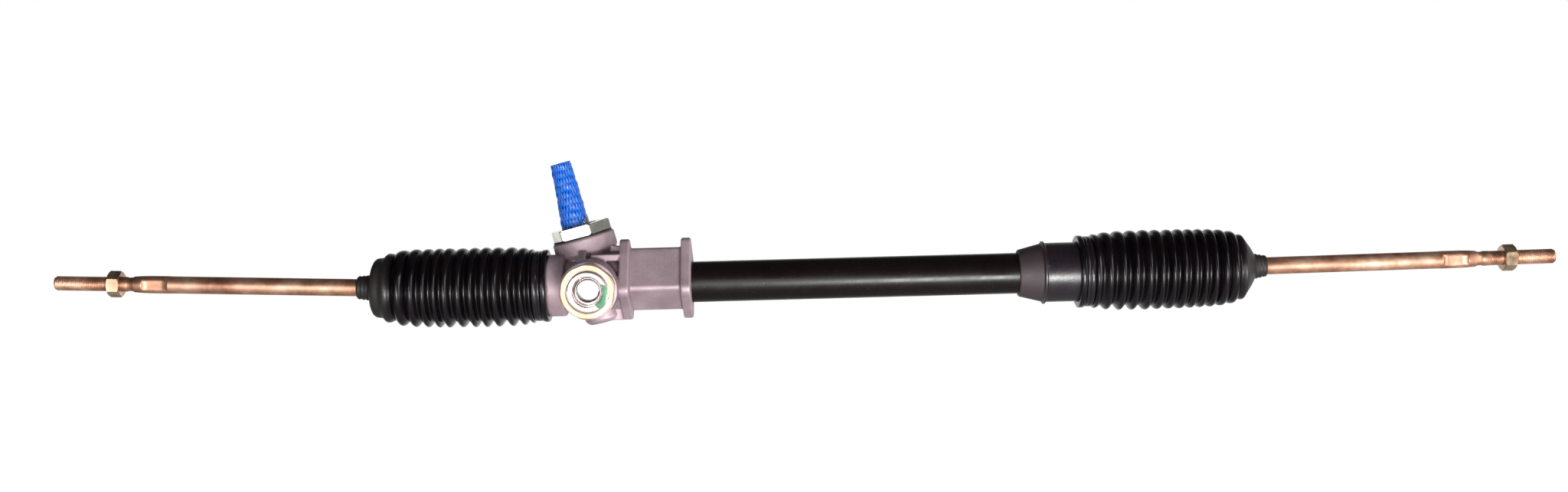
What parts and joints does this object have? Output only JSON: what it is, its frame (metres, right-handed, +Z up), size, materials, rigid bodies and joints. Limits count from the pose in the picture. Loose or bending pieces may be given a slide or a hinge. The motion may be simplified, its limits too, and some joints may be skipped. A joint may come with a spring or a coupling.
{
  "type": "steering rack",
  "caption": "Manual rack-and-pinion steering rack with cast gear housing, black rack tube, rubber bellows and plated tie rods.",
  "frame": {"origin": "on the rack axis, midway between the two tie rod ball centres, inside the rack tube", "axes": "+X along the rack away from the pinion, +Z up, the rack guide faces -Y"},
  "size_m": [1.2139, 0.0932, 0.1353],
  "materials": {
    "cast_aluminium": "as cast, satin",
    "black_tube_paint": "gloss black",
    "black_moulding": "matte moulded black",
    "bush_plastic": "natural",
    "steel": "ground",
    "spring_steel": "oiled",
    "bearing_steel": "polished",
    "cage_plastic": "moulded",
    "bright_zinc": "bright zinc plate",
    "gold_zinc": "yellow zinc plate",
    "copper_zinc": "brownish yellow zinc plate",
    "boot_rubber": "satin black",
    "seal_rubber": "matte black",
    "blue_net": "blue net",
    "clamp_black": "black coated band",
    "seat_plastic": "natural"
  },
  "bodies": {
    "housing": {"gear_housing": "cast_aluminium", "rack_tube": "black_tube_paint", "tube_end_sleeve": "black_moulding", "rack_bush": "bush_plastic", "rack_bush_snap_ring": "spring_steel", "pinion_bearing_outer_race": "bearing_steel", "pinion_bearing_balls": "bearing_steel", "pinion_bearing_cage": "cage_plastic", "lower_bearing_cup": "bearing_steel", "lower_bearing_needles": "bearing_steel", "pinion_plug": "bright_zinc", "pinion_plug_seal_ring": "seal_rubber", "pinion_oil_seal": "seal_rubber", "rack_guide": "steel", "guide_liner": "seat_plastic", "guide_o_ring": "seal_rubber", "guide_spring": "spring_steel", "guide_adjuster": "bright_zinc", "guide_lock_nut": "gold_zinc", "left_bellows": "boot_rubber", "left_bellows_clamp": "clamp_black", "right_bellows": "boot_rubber", "right_bellows_clamp": "clamp_black"},
    "rack": {"rack_bar": "steel", "left_tie_rod_socket": "steel", "left_tab_washer": "spring_steel", "right_tie_rod_socket": "steel", "right_tab_washer": "spring_steel"},
    "pinion": {"pinion_shaft": "steel", "pinion_bearing_inner_race": "bearing_steel", "spline_net_guard": "blue_net"},
    "left_seat": {"left_ball_seat": "seat_plastic"},
    "left_rod": {"left_tie_rod": "copper_zinc", "left_tie_rod_lock_nut": "gold_zinc"},
    "right_seat": {"right_ball_seat": "seat_plastic"},
    "right_rod": {"right_tie_rod": "copper_zinc", "right_tie_rod_lock_nut": "gold_zinc"}
  },
  "joints": [
    {"name": "rack_slide", "type": "slide", "parent": "housing", "child": "rack", "axis": [1, 0, 0], "range_m": [-0.058, 0.058], "deforming": ["left_bellows", "right_bellows"]},
    {"name": "pinion_turn", "type": "hinge", "parent": "housing", "child": "pinion", "pos_m": [-0.1712, 0.016, 0], "axis": [-0.2419, 0, 0.9703], "range_deg": [-475, 475]},
    {"name": "left_rod_swing_up_down", "type": "hinge", "parent": "rack", "child": "left_seat", "pos_m": [-0.302, 0, 0], "axis": [0, 1, 0], "range_deg": [-20, 15]},
    {"name": "left_rod_swing_fore_aft", "type": "hinge", "parent": "left_seat", "child": "left_rod", "pos_m": [-0.302, 0, 0], "axis": [0.0419, 0, 0.9991], "range_deg": [-15, 15]},
    {"name": "right_rod_swing_up_down", "type": "hinge", "parent": "rack", "child": "right_seat", "pos_m": [0.302, 0, 0], "axis": [0, -1, 0], "range_deg": [-18, 17]},
    {"name": "right_rod_swing_fore_aft", "type": "hinge", "parent": "right_seat", "child": "right_rod", "pos_m": [0.302, 0, 0], "axis": [-0.0079, 0, 1], "range_deg": [-15, 15]}
  ],
  "couplings": [
    {"joint": "pinion_turn", "follows": "rack_slide", "rad_per_m": 142.86}
  ]
}
